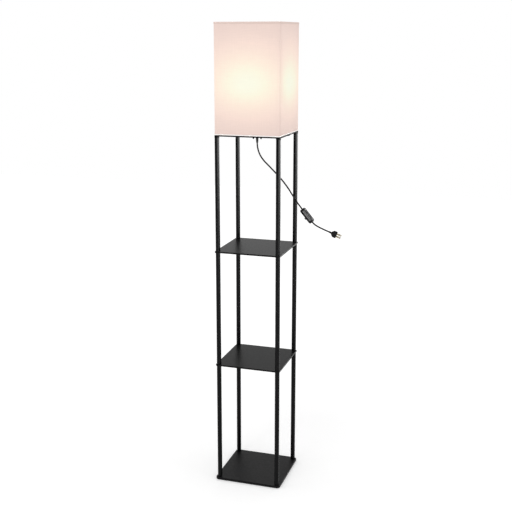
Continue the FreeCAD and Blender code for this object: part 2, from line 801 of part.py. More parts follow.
def make_cap_nuts():
    """Cap nuts: a hexagon under the strap, closed by a tapered end, with a blind thread."""
    nuts = []
    for side in (-1, 1):
        name = f"cap_nut_{len(nuts) + 1}"
        x = holder_screw_offset * side
        low = strap_bottom - nut_hex_height
        hexagon = prism(
            name + "_hexagon", nut_flats / math.sqrt(3.0), nut_hex_height, (x, 0.0, low))
        end = doc.addObject("Part::Cone", name + "_end")
        bind(end, "Radius1", nut_cap_radius)
        bind(end, "Radius2", nut_flats / 2)
        bind(end, "Height", nut_cap_height)
        place(end, x, 0.0, low - nut_cap_height)
        thread = cylinder(
            name + "_thread", small_thread_radius, nut_hex_height + fit_gap,
            (x, 0.0, low - fit_gap))
        nuts.append(cut(name, fuse(name + "_solid", [hexagon, end]), thread))
    return [group("cap_nuts", nuts)]


# ---------------------------------------------------------------------------
# Lampholder and bulb
# ---------------------------------------------------------------------------

def make_lampholder():
    bore = neck_radius + fit_gap
    outer = holder_radius
    inner = holder_radius - holder_wall
    cap = turned("holder_cap", [
        (bore, 0.0), (holder_foot_radius, 0.0), (outer, holder_cone_height),
        (outer, holder_cap_height), (inner, holder_cap_height),
        (inner, holder_cone_height + holder_wall), (holder_foot_radius, holder_wall),
        (bore, holder_wall),
    ], column_shoulder)
    top = holder_shell_height
    shell = turned("holder_shell", [
        (inner, 0.0), (outer, 0.0), (outer, top - holder_lip_height),
        (outer + holder_lip, top - holder_lip_height), (outer + holder_lip, top), (inner, top),
    ], column_shoulder + holder_cap_height)
    disc = turned("holder_insulator", [
        (insulator_bore, 0.0), (inner - fit_gap, 0.0), (inner - fit_gap, insulator_thick),
        (insulator_bore, insulator_thick),
    ], insulator_bottom)
    thread_inner = bulb_cap_radius + fit_gap
    thread_outer = thread_inner + contact_shell_wall
    thread = turned("holder_thread", [
        (thread_inner, 0.0), (thread_outer, 0.0), (thread_outer, contact_shell_height),
        (thread_inner, contact_shell_height),
    ], insulator_top)
    contact = turned("holder_contact", [
        (0.0, 0.0), (contact_radius, 0.0), (contact_radius / 2, contact_height),
        (0.0, contact_height),
    ], insulator_top)
    return [cap, shell, disc, thread, contact]


def make_bulb_cap():
    return [turned("bulb_cap", [
        (0.0, 0.0), (bulb_tip_radius, 0.0), (bulb_cap_radius - bulb_tip_chamfer, bulb_tip_height),
        (bulb_cap_radius, bulb_tip_height + bulb_tip_chamfer),
        (bulb_cap_radius, bulb_cap_height), (0.0, bulb_cap_height),
    ], bulb_bottom)]


def make_bulb_glass():
    """The globe and the cone that narrows to the cap, hollow, drawn as one outline."""
    body = new_body("bulb_glass", bulb_bottom + bulb_cap_height)
    sketch = new_sketch(body, "glass_profile", "XZ_Plane")
    centre = bulb_length - bulb_cap_height - bulb_radius
    neck = bulb_neck_radius
    arcs = []
    tails = []
    for wall in (0.0, bulb_glass_wall.number):
        radius = bulb_radius.number - wall
        across = neck.number - wall
        rise = centre.number - bulb_neck_height.number
        reach = math.hypot(across, rise)
        swing = math.acos(radius / reach) + math.atan2(-rise, across)
        ball = Part.Circle(flat(0.0, centre), Vector(0, 0, 1), radius)
        arcs.append(sketch.addGeometry(Part.ArcOfCircle(ball, swing, math.pi / 2), False))
        touch = Vector(radius * math.cos(swing), centre.number + radius * math.sin(swing), 0)
        foot = flat(across, bulb_neck_height)
        tails.append(sketch.addGeometry(Part.LineSegment(touch, foot), False))
        tails.append(sketch.addGeometry(Part.LineSegment(foot, flat(across, 0.0)), False))
    outer_arc, inner_arc = arcs
    outer_cone, outer_neck, inner_cone, inner_neck = tails
    rim = sketch.addGeometry(Part.LineSegment(
        flat(neck, 0.0), flat(neck - bulb_glass_wall, 0.0)), False)
    crown = sketch.addGeometry(Part.LineSegment(
        flat(0.0, centre + bulb_radius - bulb_glass_wall), flat(0.0, centre + bulb_radius)), False)
    for arc, cone, straight, radius, across in (
            (outer_arc, outer_cone, outer_neck, bulb_radius, neck),
            (inner_arc, inner_cone, inner_neck, bulb_radius - bulb_glass_wall,
             neck - bulb_glass_wall)):
        sketch.addConstraint(Sketcher.Constraint("Tangent", arc, 1, cone, 1))
        sketch.addConstraint(Sketcher.Constraint("Coincident", cone, 2, straight, 1))
        pin_point(sketch, arc, 3, 0.0, centre)
        pin_point(sketch, straight, 1, across, bulb_neck_height)
        pin_point(sketch, straight, 2, across, 0.0)
        index = sketch.addConstraint(Sketcher.Constraint("Radius", arc, radius.number))
        bind(sketch, f"Constraints[{index}]", radius)
        sketch.addConstraint(Sketcher.Constraint("PointOnObject", arc, 2, -2))
    sketch.addConstraint(Sketcher.Constraint("Coincident", outer_neck, 2, rim, 1))
    sketch.addConstraint(Sketcher.Constraint("Coincident", inner_neck, 2, rim, 2))
    sketch.addConstraint(Sketcher.Constraint("Coincident", outer_arc, 2, crown, 2))
    sketch.addConstraint(Sketcher.Constraint("Coincident", inner_arc, 2, crown, 1))
    revolve(body, sketch)
    return [body]


# ---------------------------------------------------------------------------
# Shade: laminated fabric glued round two steel bands, with a wire in each corner. The lower
# band hangs on four arms of a hub plate, which the holder column clamps on the strap.
# ---------------------------------------------------------------------------

def square_band(name, side, corner, wall, height, z):
    body = new_body(name, z)
    outline = new_sketch(body, name + "_outline")
    rounded_rectangle(outline, side, side, corner)
    rounded_rectangle(outline, side - 2 * wall, side - 2 * wall, corner - wall)
    pad(body, outline, height)
    return body


def make_shade_fabric():
    fabric = square_band(
        "shade_fabric", shade_side, shade_corner, shade_wall, shade_height, shade_bottom)
    side = shade_side + 2 * trim_wall
    corner = shade_corner + trim_wall
    low = square_band(
        "shade_bottom_trim", side, corner, trim_wall, trim_height, shade_bottom)
    high = square_band(
        "shade_top_trim", side, corner, trim_wall, trim_height,
        shade_bottom + shade_height - trim_height)
    return [fabric, low, high]


band_side = shade_side - 2 * (shade_wall + fit_gap)
band_corner = shade_corner - shade_wall - fit_gap


def make_shade_bottom_frame():
    """One sheet-metal piece: the lower band, the hub plate and the four arms between them."""
    body = square_band(
        "shade_bottom_frame", band_side, band_corner, band_thick, band_height, shade_bottom)
    drop = shade_bottom - strap_top
    hub = new_sketch(body, "hub_outline", lift=-drop)
    circle(hub, hub_radius)
    pad(body, hub, band_thick)
    low = -drop
    high = (band_height - band_thick) / 2
    foot = hub_radius + arm_foot
    reach = band_side / 2 - band_thick
    arm = new_sketch(body, "arm_side", "XZ_Plane")
    polygon(arm, [
        (hub_radius - arm_foot, low), (foot, low), (reach - arm_level, high), (reach, high),
        (reach, high + band_thick), (reach - arm_level, high + band_thick),
        (foot, low + band_thick), (hub_radius - arm_foot, low + band_thick),
    ])
    arms = body.newObject("PartDesign::PolarPattern", "arms")
    arms.Originals = [pad(body, arm, arm_width, symmetric=True)]
    arms.Axis = (hub, ["N_Axis"])
    arms.Angle = 360
    arms.Occurrences = 4
    body.Tip = arms
    doc.recompute()
    holes = new_sketch(body, "hub_holes", lift=-drop)
    circle(holes, hub_bore)
    for side in (-1, 1):
        circle(holes, small_thread_radius + hole_gap, holder_screw_offset * side)
    pocket(body, holes, band_thick, upward=True)
    return [body]


def make_shade_top_band():
    z = shade_bottom + shade_height - band_height
    return [square_band("shade_top_band", band_side, band_corner, band_thick, band_height, z)]


def make_shade_uprights():
    """A wire in each corner, as high as the fabric, close to the bands' inner corners."""
    inner_corner = band_corner - band_thick
    snug = (inner_corner - upright_radius - fit_gap) / math.sqrt(2.0)
    offset = band_side / 2 - band_corner + snug
    wires = []
    for corner, (sx, sy) in CORNERS.items():
        foot = (offset * sx, offset * sy, shade_bottom)
        wires.append(cylinder("upright_" + corner, upright_radius, shade_height, foot))
    return [group("shade_uprights", wires)]


# ---------------------------------------------------------------------------
# Strain relief and cord
# ---------------------------------------------------------------------------

def make_cord_grip():
    shank = grip_hole_radius - fit_gap
    bore = cord_radius + fit_gap
    return [turned("cord_grip", [
        (bore, -grip_length), (grip_tip_radius, -grip_length),
        (grip_root_radius, -grip_flange_thick), (grip_flange_radius, -grip_flange_thick),
        (grip_flange_radius, 0.0), (shank, 0.0), (shank, strap_thick),
        (shank + grip_lip, strap_thick), (shank + grip_lip, strap_thick + grip_lip_height),
        (bore, strap_thick + grip_lip_height),
    ], strap_bottom)]


def make_inner_cord():
    """The cord's sheath from the strain relief up through the column into the lampholder."""
    length = column_shoulder + neck_height - cord_exit
    return [cylinder("cord_inner", cord_radius, length, (0.0, 0.0, cord_exit))]


def free_cord(name, points):
    """A round cord along straight runs and the largest tangent arcs that the runs allow."""
    radius = cord_radius.number
    path, radii = rounded_route(points, lambda run, half_turn: 0.45 * run / math.tan(half_turn))
    solid = pipe(path, radius, points[0], points[1] - points[0])
    print(name, "length %.1f" % path.Length, "least radius %.1f" % min(radii),
          "radii", " ".join("%.0f" % r for r in radii))
    print(name, "volume %.1f, section times length %.1f"
          % (solid.Volume, math.pi * radius ** 2 * path.Length))
    return shape_object(name, solid)


def along(start, end, roll):
    """A placement at start whose X points to end, rolled about X."""
    forward = Vector(end - start).normalize()
    left = Vector(0, 0, 1).cross(forward).normalize()
    up = forward.cross(left)
    matrix = FreeCAD.Matrix(
        forward.x, left.x, up.x, 0,
        forward.y, left.y, up.y, 0,
        forward.z, left.z, up.z, 0,
        0, 0, 0, 1)
    turn = FreeCAD.Placement(matrix).Rotation
    return FreeCAD.Placement(start, turn * FreeCAD.Rotation(Vector(1, 0, 0), roll))


def route_points(route):
    """A route's points in the lamp's own frame."""
    return [Vector(0, 0, cord_exit.number) + Vector(*point) for point in route]


upper_route = route_points(UPPER_ROUTE)
lower_route = route_points(LOWER_ROUTE)


def make_cords():
    """Both free stretches. The switch holds cord_entry of each one's end."""
    inward = (lower_route[0] - upper_route[-1]).normalize() * cord_entry.number
    upper = upper_route[:-1] + [upper_route[-1] + inward]
    lower = [lower_route[0] - inward] + lower_route[1:]
    return [free_cord("cord_upper", upper), free_cord("cord_lower", lower)]


# ---------------------------------------------------------------------------
# Inline switch. It is drawn about its own middle: X along the cord, Z towards the
# rocker, Z = 0 where its two shells meet. Then it is placed on the cord's line.
# ---------------------------------------------------------------------------

switch_middle = (upper_route[-1] + lower_route[0]) / 2
switch_place = along(switch_middle, lower_route[0], 180.0 + switch_roll.number)


def cut_cord_holes(body, name):
    """Round openings for the cord at both ends."""
    for side in (-1, 1):
        mouth = new_sketch(
            body, f"{name}_mouth_{'in' if side < 0 else 'out'}", "YZ_Plane",
            switch_length / 2 * side)
        circle(mouth, cord_radius + fit_gap)
        pocket(body, mouth, cord_entry, upward=side < 0)


def make_switch_shells():
    shells = []
    for name, upper in (("switch_rocker_shell", True), ("switch_back_shell", False)):
        body = new_body(name)
        outline = new_sketch(body, name + "_outline")
        rounded_rectangle(outline, switch_length, switch_width, switch_corner)
        block = pad(body, outline, switch_half, downward=not upper)
        outer_level = switch_half.number if upper else -switch_half.number
        fillet(body, block, edges_at(block.Shape, outer_level), switch_edge)
        hollow = new_sketch(body, name + "_hollow")
        rounded_rectangle(
            hollow, switch_length - 2 * switch_wall, switch_width - 2 * switch_wall,
            switch_corner - switch_wall)
        pocket(body, hollow, switch_half - switch_wall, upward=upper)
        bosses = new_sketch(body, name + "_bosses")
        for side in (-1, 1):
            circle(bosses, boss_radius, boss_offset * side)
        pad(body, bosses, switch_half - switch_wall / 2, downward=not upper)
        cut_cord_holes(body, name)
        if upper:
            cut_rocker_seat(body)
        else:
            cut_grip_ribs(body)
        cut_screw_holes(body, name, upper)
        shells.append(body)
    return shells


def cut_rocker_seat(body):
    """The rocker's window, and the blind seats of its pin in the side walls."""
    window = new_sketch(body, "rocker_window", lift=switch_half)
    rounded_rectangle(window, window_length, window_width, window_corner)
    pocket(body, window, switch_wall)
    seat = new_sketch(body, "pivot_seat", "XZ_Plane")
    circle(seat, pivot_radius + fit_gap, 0.0, rocker_pivot)
    width = switch_width - 2 * switch_wall + 2 * pivot_seat
    pocket(body, seat, width, symmetric=True)


def cut_grip_ribs(body):
    """Grip grooves down both sides of the shell, repeated along the cord's direction."""
    groove = new_sketch(body, "grip_groove")
    start = -rib_pitch * (rib_count - 1) / 2
    for side in (-1, 1):
        rectangle(groove, rib_width, 2 * rib_depth, start, switch_width / 2 * side)
    first = pocket(body, groove, switch_half - switch_edge)
    before = body.Shape.Volume
    pattern = body.newObject("PartDesign::LinearPattern", "grip_grooves")
    pattern.Originals = [first]
    pattern.Direction = (groove, ["H_Axis"])
    bind(pattern, "Length", rib_pitch * (rib_count - 1))
    bind(pattern, "Occurrences", rib_count)
    body.Tip = pattern
    doc.recompute()
    must_shrink(body, before, pattern.Name)


def cut_screw_holes(body, name, upper):
    holes = new_sketch(body, name + "_screw_holes")
    radius = case_screw_radius if upper else case_screw_radius + hole_gap
    for side in (-1, 1):
        circle(holes, radius, boss_offset * side)
    if upper:
        pocket(body, holes, switch_half - 2 * switch_wall, upward=True)
        return
    pocket(body, holes, switch_half)
    seats = new_sketch(body, name + "_screw_seats", lift=-switch_half)
    for side in (-1, 1):
        circle(seats, case_head_radius + hole_gap, boss_offset * side)
    pocket(body, seats, case_head_height + hole_gap, upward=True)


def make_switch_rocker():
    """A rocker with two flats that rise from its middle, and a nub below its pin."""
    body = new_body("switch_rocker")
    side = new_sketch(body, "rocker_side", "XZ_Plane")
    swell = rocker_reach + rocker_swell
    right = [
        (rocker_reach, rocker_apex + rocker_rise), (swell, rocker_swell_height),
        (rocker_reach - rocker_gap, -rocker_belly), (rocker_nub_root, -rocker_belly),
        (rocker_nub_tip, -rocker_nub),
    ]
    left = [(-x, y) for x, y in reversed(right)]
    polygon(side, [(0.0, rocker_apex)] + right + left)
    pad(body, side, window_width - 2 * rocker_gap, symmetric=True)
    bore = new_sketch(body, "rocker_bore", "XZ_Plane")
    circle(bore, pivot_radius + fit_gap / 2)
    pocket(body, bore)
    return body


def make_switch_inside():
    width = switch_width - 2 * switch_wall + 2 * pivot_seat - 2 * fit_gap
    pivot = cylinder("switch_pivot", pivot_radius, width, (0.0, 0.0, 0.0))
    floor = -switch_half + switch_wall
    strips = []
    for side in (-1, 1):
        name = f"contact_strip_{len(strips) + 1}"
        near = strip_spread if side > 0 else -strip_spread - strip_length
        foot = box(
            name + "_foot", strip_length, strip_width, strip_thick,
            (near, -strip_width / 2, floor))
        edge = strip_spread if side > 0 else -strip_spread - strip_thick
        upright = box(
            name + "_upright", strip_thick, strip_width, strip_height,
            (edge, -strip_width / 2, floor))
        strips.append(fuse(name, [foot, upright]))
    screws = []
    seat = -switch_half + case_head_height + hole_gap
    for side in (-1, 1):
        name = f"case_screw_{len(screws) + 1}"
        x = boss_offset * side
        head = cylinder(
            name + "_head", case_head_radius, case_head_height,
            (x, 0.0, seat - case_head_height))
        shank = cylinder(
            name + "_shank", case_screw_radius - fit_gap, case_screw_reach - seat,
            (x, 0.0, seat))
        screws.append(fuse(name, [head, shank]))
    return pivot, group("switch_contacts", strips), group("switch_screws", screws)


def make_switch():
    shells = make_switch_shells()
    rocker = make_switch_rocker()
    pivot, contacts, screws = make_switch_inside()
    doc.recompute()
    lift = Vector(0, 0, rocker_pivot.number)
    tilt = FreeCAD.Rotation(Vector(0, 1, 0), -rocker_tilt.number)
    for item in shells + [contacts, screws]:
        item.Placement = switch_place
    rocker.Placement = switch_place * FreeCAD.Placement(lift, tilt)
    half_width = pivot.Height.Value / 2
    pivot.setExpression(".Placement.Base.x", None)
    pivot.setExpression(".Placement.Base.y", None)
    pivot.setExpression(".Placement.Base.z", None)
    lying = FreeCAD.Placement(
        lift + Vector(0, half_width, 0), FreeCAD.Rotation(Vector(1, 0, 0), 90))
    pivot.Placement = switch_place * lying
    return shells + [rocker, pivot, contacts, screws]


# ---------------------------------------------------------------------------
# Plug. It is drawn from the end of the cord: X along the cord, Z across the blades.
# ---------------------------------------------------------------------------

plug_start = lower_route[-1]
plug_place = along(plug_start, plug_start * 2 - lower_route[-2], plug_roll.number)


def make_plug():
    body = new_body("plug_body")
    neck = new_sketch(body, "plug_neck", "YZ_Plane")
    circle(neck, plug_neck_radius)
    pad(body, neck, plug_neck_length)
    throat = new_sketch(body, "plug_throat", "YZ_Plane", plug_neck_length)
    rounded_rectangle(throat, plug_throat_depth, plug_throat_width, plug_throat_corner)
    face = new_sketch(body, "plug_face", "YZ_Plane", plug_neck_length + plug_shoulder)
    rounded_rectangle(face, plug_body_depth, plug_body_width, plug_body_corner)
    shoulder = body.newObject("PartDesign::AdditiveLoft", "plug_shoulder_loft")
    shoulder.Profile = throat
    shoulder.Sections = [face]
    doc.recompute()
    block = new_sketch(body, "plug_block", "YZ_Plane", plug_neck_length + plug_shoulder)
    rounded_rectangle(block, plug_body_depth, plug_body_width, plug_body_corner)
    pad(body, block, plug_body_length)
    root = plug_neck_length + plug_shoulder + plug_body_length - blade_root
    slots = new_sketch(body, "plug_slots", "YZ_Plane", root)
    for side in (-1, 1):
        rectangle(slots, blade_width, blade_thick, 0.0, blade_pitch / 2 * side)
    pocket(body, slots, blade_root, upward=True)
    blades = []
    for side in (-1, 1):
        name = f"blade_{len(blades) + 1}"
        z = blade_pitch / 2 * side - blade_thick / 2
        strip = box(
            name + "_strip", blade_root + blade_length, blade_width, blade_thick,
            (root, -blade_width / 2, z))
        hole_x = root + blade_root + blade_length - blade_hole_inset
        hole = cylinder(name + "_hole", blade_hole_radius, blade_thick, (hole_x, 0.0, z))
        blades.append(cut(name, strip, hole))
    pair = group("plug_blades", blades)
    doc.recompute()
    body.Placement = plug_place
    pair.Placement = plug_place
    return [body, pair]


# ---------------------------------------------------------------------------
# Build, check, write
# ---------------------------------------------------------------------------

parts = []
parts += make_base()
parts += make_base_pads()
parts += make_base_bolts()
parts += make_posts()
parts += make_shelf("middle_shelf", middle_shelf_top)
parts += make_shelf("upper_shelf", upper_shelf_top)
parts += make_top_frame()
parts += make_frame_screws()
parts += make_strap()
parts += make_column()
parts += make_holder_screws()
parts += make_cap_nuts()
parts += make_lampholder()
parts += make_bulb_cap()
parts += make_bulb_glass()
parts += make_shade_fabric()
parts += make_shade_bottom_frame()
parts += make_shade_top_band()
parts += make_shade_uprights()
parts += make_cord_grip()
parts += make_inner_cord()
parts += make_cords()
parts += make_switch()
parts += make_plug()
doc.recompute()

for item in doc.Objects:
    if {"Invalid", "Error"} & set(item.State):
        raise RuntimeError(f"{item.Name} did not build: {item.State}")
for part in parts:
    if part.Shape.isNull() or not part.Shape.isValid() or not part.Shape.Solids:
        raise RuntimeError(f"{part.Label} has no valid solid")
for part in parts:
    part.Shape.exportStep(f"parts/{part.Label}.step")
print(len(parts), "parts written")
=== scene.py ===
import json
import math

import bmesh
import bpy
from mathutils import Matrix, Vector


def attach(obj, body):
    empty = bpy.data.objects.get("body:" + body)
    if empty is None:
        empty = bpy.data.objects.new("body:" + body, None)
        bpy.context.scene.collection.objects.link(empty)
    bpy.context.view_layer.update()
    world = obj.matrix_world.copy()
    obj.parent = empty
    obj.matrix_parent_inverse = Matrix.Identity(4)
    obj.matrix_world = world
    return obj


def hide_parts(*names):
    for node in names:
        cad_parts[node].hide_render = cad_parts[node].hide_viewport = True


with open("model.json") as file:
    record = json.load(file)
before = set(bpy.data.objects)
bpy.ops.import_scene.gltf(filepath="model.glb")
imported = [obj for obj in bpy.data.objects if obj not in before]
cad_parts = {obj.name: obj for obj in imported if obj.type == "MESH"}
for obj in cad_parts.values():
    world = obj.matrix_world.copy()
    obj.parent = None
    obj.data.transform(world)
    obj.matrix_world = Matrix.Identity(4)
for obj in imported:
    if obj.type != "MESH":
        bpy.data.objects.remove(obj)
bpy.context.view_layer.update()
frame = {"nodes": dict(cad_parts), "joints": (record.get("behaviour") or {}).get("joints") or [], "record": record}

# ---------------------------------------------------------------- shade, metres

FACE = 0.113            # half the side of the cloth shade
SIDE_STEPS = 26
CORNER_STEPS = 6

CLOTH_CORNER = 0.006
CLOTH_WALL = 0.001
CLOTH_FOOT = 1.2367
CLOTH_HEAD = 1.6000
CLOTH_ROWS = 44
CLOTH_BOW = 0.0012      # how far the cloth draws in at the middle of a side
CLOTH_PUCKER = 0.00016
COARSE_PUCKERS = 46     # puckers round the shade
FINE_PUCKERS = 71
FINE_SHARE = 0.6        # depth of the fine puckers, where the coarse ones' is 1
FINE_START = 1.3        # where in its wave the fine pucker starts, in radians
PUCKER_FADE = 0.05      # share of the cloth's height over which the puckers fade

HEM_HEIGHT = 0.007
HEM_STEPS = 10
HEM_RISE = 0.0006
HEM_BULGE = 0.0003
HEM_SINK = 0.0002       # how far an edging's own edges sink into the cloth
EDGING_FOLD = 0.0032    # height of the pale fold along the cloth's foot

SEAM_ROWS = 30
SEAM_WIDTH = 0.009
SEAM_INSET = 0.002      # from the corner's round to the seam
SEAM_RISE = 0.0004
SEAM_WANDER = [         # waves of its free edge: how far each goes, and its radians to a row
    (0.0003, 0.9),
    (0.0002, 2.3),
]
SEAM_SECTION = [        # shares of its width, and heights above the cloth
    (0.0, -0.0002),
    (0.0004, SEAM_RISE),
    (0.5, SEAM_RISE * 1.15),
    (0.9996, SEAM_RISE),
    (1.0, -0.0002),
]

GLOBE_HEIGHT = 1.404    # the height at which the cloth's painted glow is brightest
GLOBE_NECK = 1.347      # the globe grows brighter from here
GLOBE_BRIGHT = 1.397    # to here
# how the cloth's painted glow falls off from there:
GLOW_DROP = 1.15        # how much faster the light falls off below the globe than above it
GLOW_SIDEWAYS = 0.55    # its fall sideways: 0 for none, 1 for that of a point of light
GLOW_POWER = 3.0        # how steeply it falls off with the distance
WIRE_FAR = 0.014        # distance from a corner at which the painted shadow of its wire starts
WIRE_NEAR = 0.003       # and at which that painted shadow is darkest
WIRE_SHADOW_SHARE = 0.90       # the share of the painted glow left there
THREAD_PITCH = 0.0011

# ---------------------------------------------------------------- posts, cord and switch, metres

POST_OFFSET = 0.106
POST_RADIUS = 0.008
POST_TOP = 1.2325
COLLAR_SIDES = 32
COLLAR_GAP = 0.0001     # between a collar and the top frame
COLLAR_RISE = 0.0005
COLLAR_SINK = 0.0004    # how far a collar goes into its post
COLLAR_HEIGHT = 0.0045
UPPER_BEVEL = 0.0004    # heights of a collar's bevels
LOWER_BEVEL = 0.0006

CORD_WIDTH = 0.005

UPPER_ROUTE = [
    (0.0, 0.0, 1.2035),
    (0.0, 0.0, 1.1855),
    (0.0145, -0.001, 1.1515),
    (0.051, -0.0035, 1.1190),
    (0.103, -0.006, 1.0680),
    (0.1403, -0.006, 1.0098),
    (0.16347, -0.006, 0.98224),
]
LOWER_ROUTE = [
    (0.19493, -0.006, 0.94476),
    (0.2023, -0.006, 0.9360),
    (0.2180, -0.005, 0.9267),
    (0.2385, -0.003, 0.9178),
    (0.2550, -0.001, 0.9110),
]

GRIP_REACH = 0.0215     # half the length of the switch's ribbed grip
GRIP_FADE = 0.002       # length over which its painted highlight ends
SWITCH_SIDE = 0.0095    # half the switch's width
RIB_DEPTH = 0.0008
GROOVE_SHARE = 0.15     # how much of the painted highlight shows between the ribs, in their painted shade
SEAM_HIGHLIGHT = 0.0017     # height of the painted highlight beside the seam of the switch's shells

PAD_HALF = 0.0044       # half the width of the pad on the rocker
PAD_STEPS = 12
PAD_NARROWING = 0.25    # how much smaller the pad's outline is at its two sides
PAD_ROUNDING = 6        # the higher, the nearer to its sides it starts to narrow
PAD_MIDDLE = (0.0050, 0.0060)   # the point that its outline shrinks towards
PAD_OUTLINE = [         # runs from the rocker's pin towards the plug, and heights above the pin
    (-0.0005, 0.0042),
    (0.0002, 0.0075),
    (0.0018, 0.0098),
    (0.0042, 0.0107),
    (0.0064, 0.0103),
    (0.0079, 0.0092),
    (0.0085, 0.0078),
    (0.0088, 0.0060),
    (0.0090, 0.0042),
]

# ---------------------------------------------------------------- studio

WHITE = (1.0, 1.0, 1.0, 1.0)
EVEN_LIGHT = 0.72       # the surround's strength as a lamp, where 1 is white to look at
ROOM_LEVEL = 0.10       # its strength in front, as shiny surfaces see it
CARD_LEVEL = 22.0       # brightness of the card that the posts' heads reflect

# A direction's y, x, z and z between which the surround changes, for what shines.
ROOM_BACK = (0.30, 0.75)
CARD_RIGHT = (-0.2, 0.9)
CARD_FOOT = (-0.17, -0.11)
CARD_HEAD = (0.0, 0.12)

FLOOR_HALF = 6.0
FLOOR_RANGE = (0.4, 2.6)    # distances from the lamp between which the floor grows whiter
FLOOR_LIFT = (0.25, 0.48)   # and how much light is added at the two

CAMERA_PLACE = (0.9256, -2.9088, 1.5571)
CAMERA_DIP = 12.81      # degrees down from level
CAMERA_TURN = 17.73     # degrees to the left
CAMERA_LENS = 63.45
CAMERA_SENSOR = 36.0
CAMERA_SHIFT = -0.030

# ---------------------------------------------------------------- node helpers


def feed(tree, socket, value):
    """Links a socket to another, or sets it to a plain value."""
    if isinstance(value, bpy.types.NodeSocket):
        tree.links.new(value, socket)
    else:
        socket.default_value = value


def node(tree, kind, feeds=None, **settings):
    """A new node with its settings made and its sockets fed."""
    made = tree.nodes.new(kind)
    for key, value in settings.items():
        setattr(made, key, value)
    for key, value in (feeds or {}).items():
        feed(tree, made.inputs[key], value)
    return made


def calc(tree, operation, *values):
    """The result of a Math node."""
    feeds = dict(enumerate(values))
    return node(tree, "ShaderNodeMath", feeds, operation=operation).outputs[0]


def between(tree, value, low, high, to_low, to_high):
    """A value mapped smoothly from one range to another, and held at its ends."""
    feeds = {"Value": value, "From Min": low, "From Max": high, "To Min": to_low, "To Max": to_high}
    return node(tree, "ShaderNodeMapRange", feeds, interpolation_type="SMOOTHSTEP").outputs[0]


def ramp(tree, factor, stops):
    """A colour read off a ramp of (place, colour) stops."""
    made = node(tree, "ShaderNodeValToRGB", {0: factor})
    bar = made.color_ramp.elements
    while len(bar) < len(stops):
        bar.new(0.5)
    for element, (position, colour) in zip(bar, stops):
        element.position = position
        element.color = (*colour, 1.0)
    return made.outputs[0]


def blend_colour(tree, factor, low, high, kind="MIX"):
    """Two colours mixed by a factor."""
    made = node(tree, "ShaderNodeMix", data_type="RGBA", blend_type=kind)
    feed(tree, made.inputs[0], factor)
    for socket, value in ((made.inputs[6], low), (made.inputs[7], high)):
        feed(tree, socket, value if isinstance(value, bpy.types.NodeSocket) else (*value, 1.0))
    return made.outputs[2]


def vector_calc(tree, operation, *vectors):
    """A Vector Math node, whose result is its output Vector or, where it is a number, Value."""
    return node(tree, "ShaderNodeVectorMath", dict(enumerate(vectors)), operation=operation).outputs


def place(tree):
    """The point's place on the object."""
    return node(tree, "ShaderNodeTexCoord").outputs["Object"]


def place_parts(tree):
    """The x, y and z of the point's place on the object."""
    return node(tree, "ShaderNodeSeparateXYZ", {0: place(tree)}).outputs


def noise(tree, scale, detail=2.0, stretch=(1.0, 1.0, 1.0)):
    """Noise from 0 to 1 with about that many features to the metre, more along a stretched axis."""
    spot = node(tree, "ShaderNodeMapping", {"Vector": place(tree), "Scale": stretch}).outputs[0]
    feeds = {"Vector": spot, "Scale": scale, "Detail": detail}
    return node(tree, "ShaderNodeTexNoise", feeds).outputs[0]


def relief(tree, shader, height, depth):
    """Bumps of that depth in metres, from a height of 0 to 1."""
    feeds = {"Height": height, "Distance": depth, "Strength": 1.0}
    feed(tree, shader.inputs["Normal"], node(tree, "ShaderNodeBump", feeds).outputs[0])


def new_material(name, **sockets):
    """A material, its node tree and its Principled shader, whose own sockets are set."""
    made = bpy.data.materials.new(name)
    made.use_nodes = True
    shader = made.node_tree.nodes["Principled BSDF"]
    for key, value in sockets.items():
        shader.inputs[key.replace("_", " ")].default_value = value
    return made, made.node_tree, shader


# ---------------------------------------------------------------- materials


def mottled(name, low, high, rough, grain, depth, **sockets):
    """A surface whose colour and gloss drift a little, with a fine grain in relief."""
    made, tree, shader = new_material(name, **sockets)
    drift = noise(tree, 30.0, 3.0)
    feed(tree, shader.inputs["Base Color"], blend_colour(tree, drift, low, high))
    gloss = noise(tree, grain * 0.2, 2.0)
    feed(tree, shader.inputs["Roughness"], between(tree, gloss, 0.25, 0.75, *rough))
    relief(tree, shader, noise(tree, grain, 3.0), depth)
    return made


def brushed(name, low, high, rough, stretch):
    """Bare metal with fine lines from drawing or turning."""
    made, tree, shader = new_material(name, Metallic=1.0)
    lines = noise(tree, 900.0, 3.0, stretch)
    feed(tree, shader.inputs["Base Color"], blend_colour(tree, lines, low, high))
    feed(tree, shader.inputs["Roughness"], between(tree, lines, 0.2, 0.8, *rough))
    relief(tree, shader, lines, 0.00002)
    return made


def felt_material():
    """Short grey fibres, lighter where they stand up."""
    made, tree, shader = new_material("felt", Roughness=0.95, Sheen_Weight=0.4)
    fibres = noise(tree, 1400.0, 5.0, (1.0, 1.0, 0.3))
    feed(tree, shader.inputs["Base Color"], ramp(tree, fibres, [
        (0.30, (0.010, 0.010, 0.011)),
        (0.70, (0.045, 0.044, 0.046)),
    ]))
    relief(tree, shader, fibres, 0.0003)
    return made


def painted_glow_share(tree):
    """How much of the bulb's light is painted as coming through the cloth, from 0 to 1 in front of the globe.
    Towards the holder below the globe it falls off faster than above it."""
    x, y, z = place_parts(tree)
    above = calc(tree, "SUBTRACT", z, GLOBE_HEIGHT)
    lift = calc(tree, "MAXIMUM", above, calc(tree, "MULTIPLY", above, -GLOW_DROP))
    level = calc(tree, "ADD", calc(tree, "MULTIPLY", x, x), calc(tree, "MULTIPLY", y, y))
    least = (1.0 - GLOW_SIDEWAYS) * FACE ** 2
    flat = calc(tree, "MULTIPLY_ADD", level, GLOW_SIDEWAYS, least)
    apart = calc(tree, "SQRT", calc(tree, "MULTIPLY_ADD", lift, lift, flat))
    return calc(tree, "POWER", calc(tree, "DIVIDE", FACE, apart), GLOW_POWER)


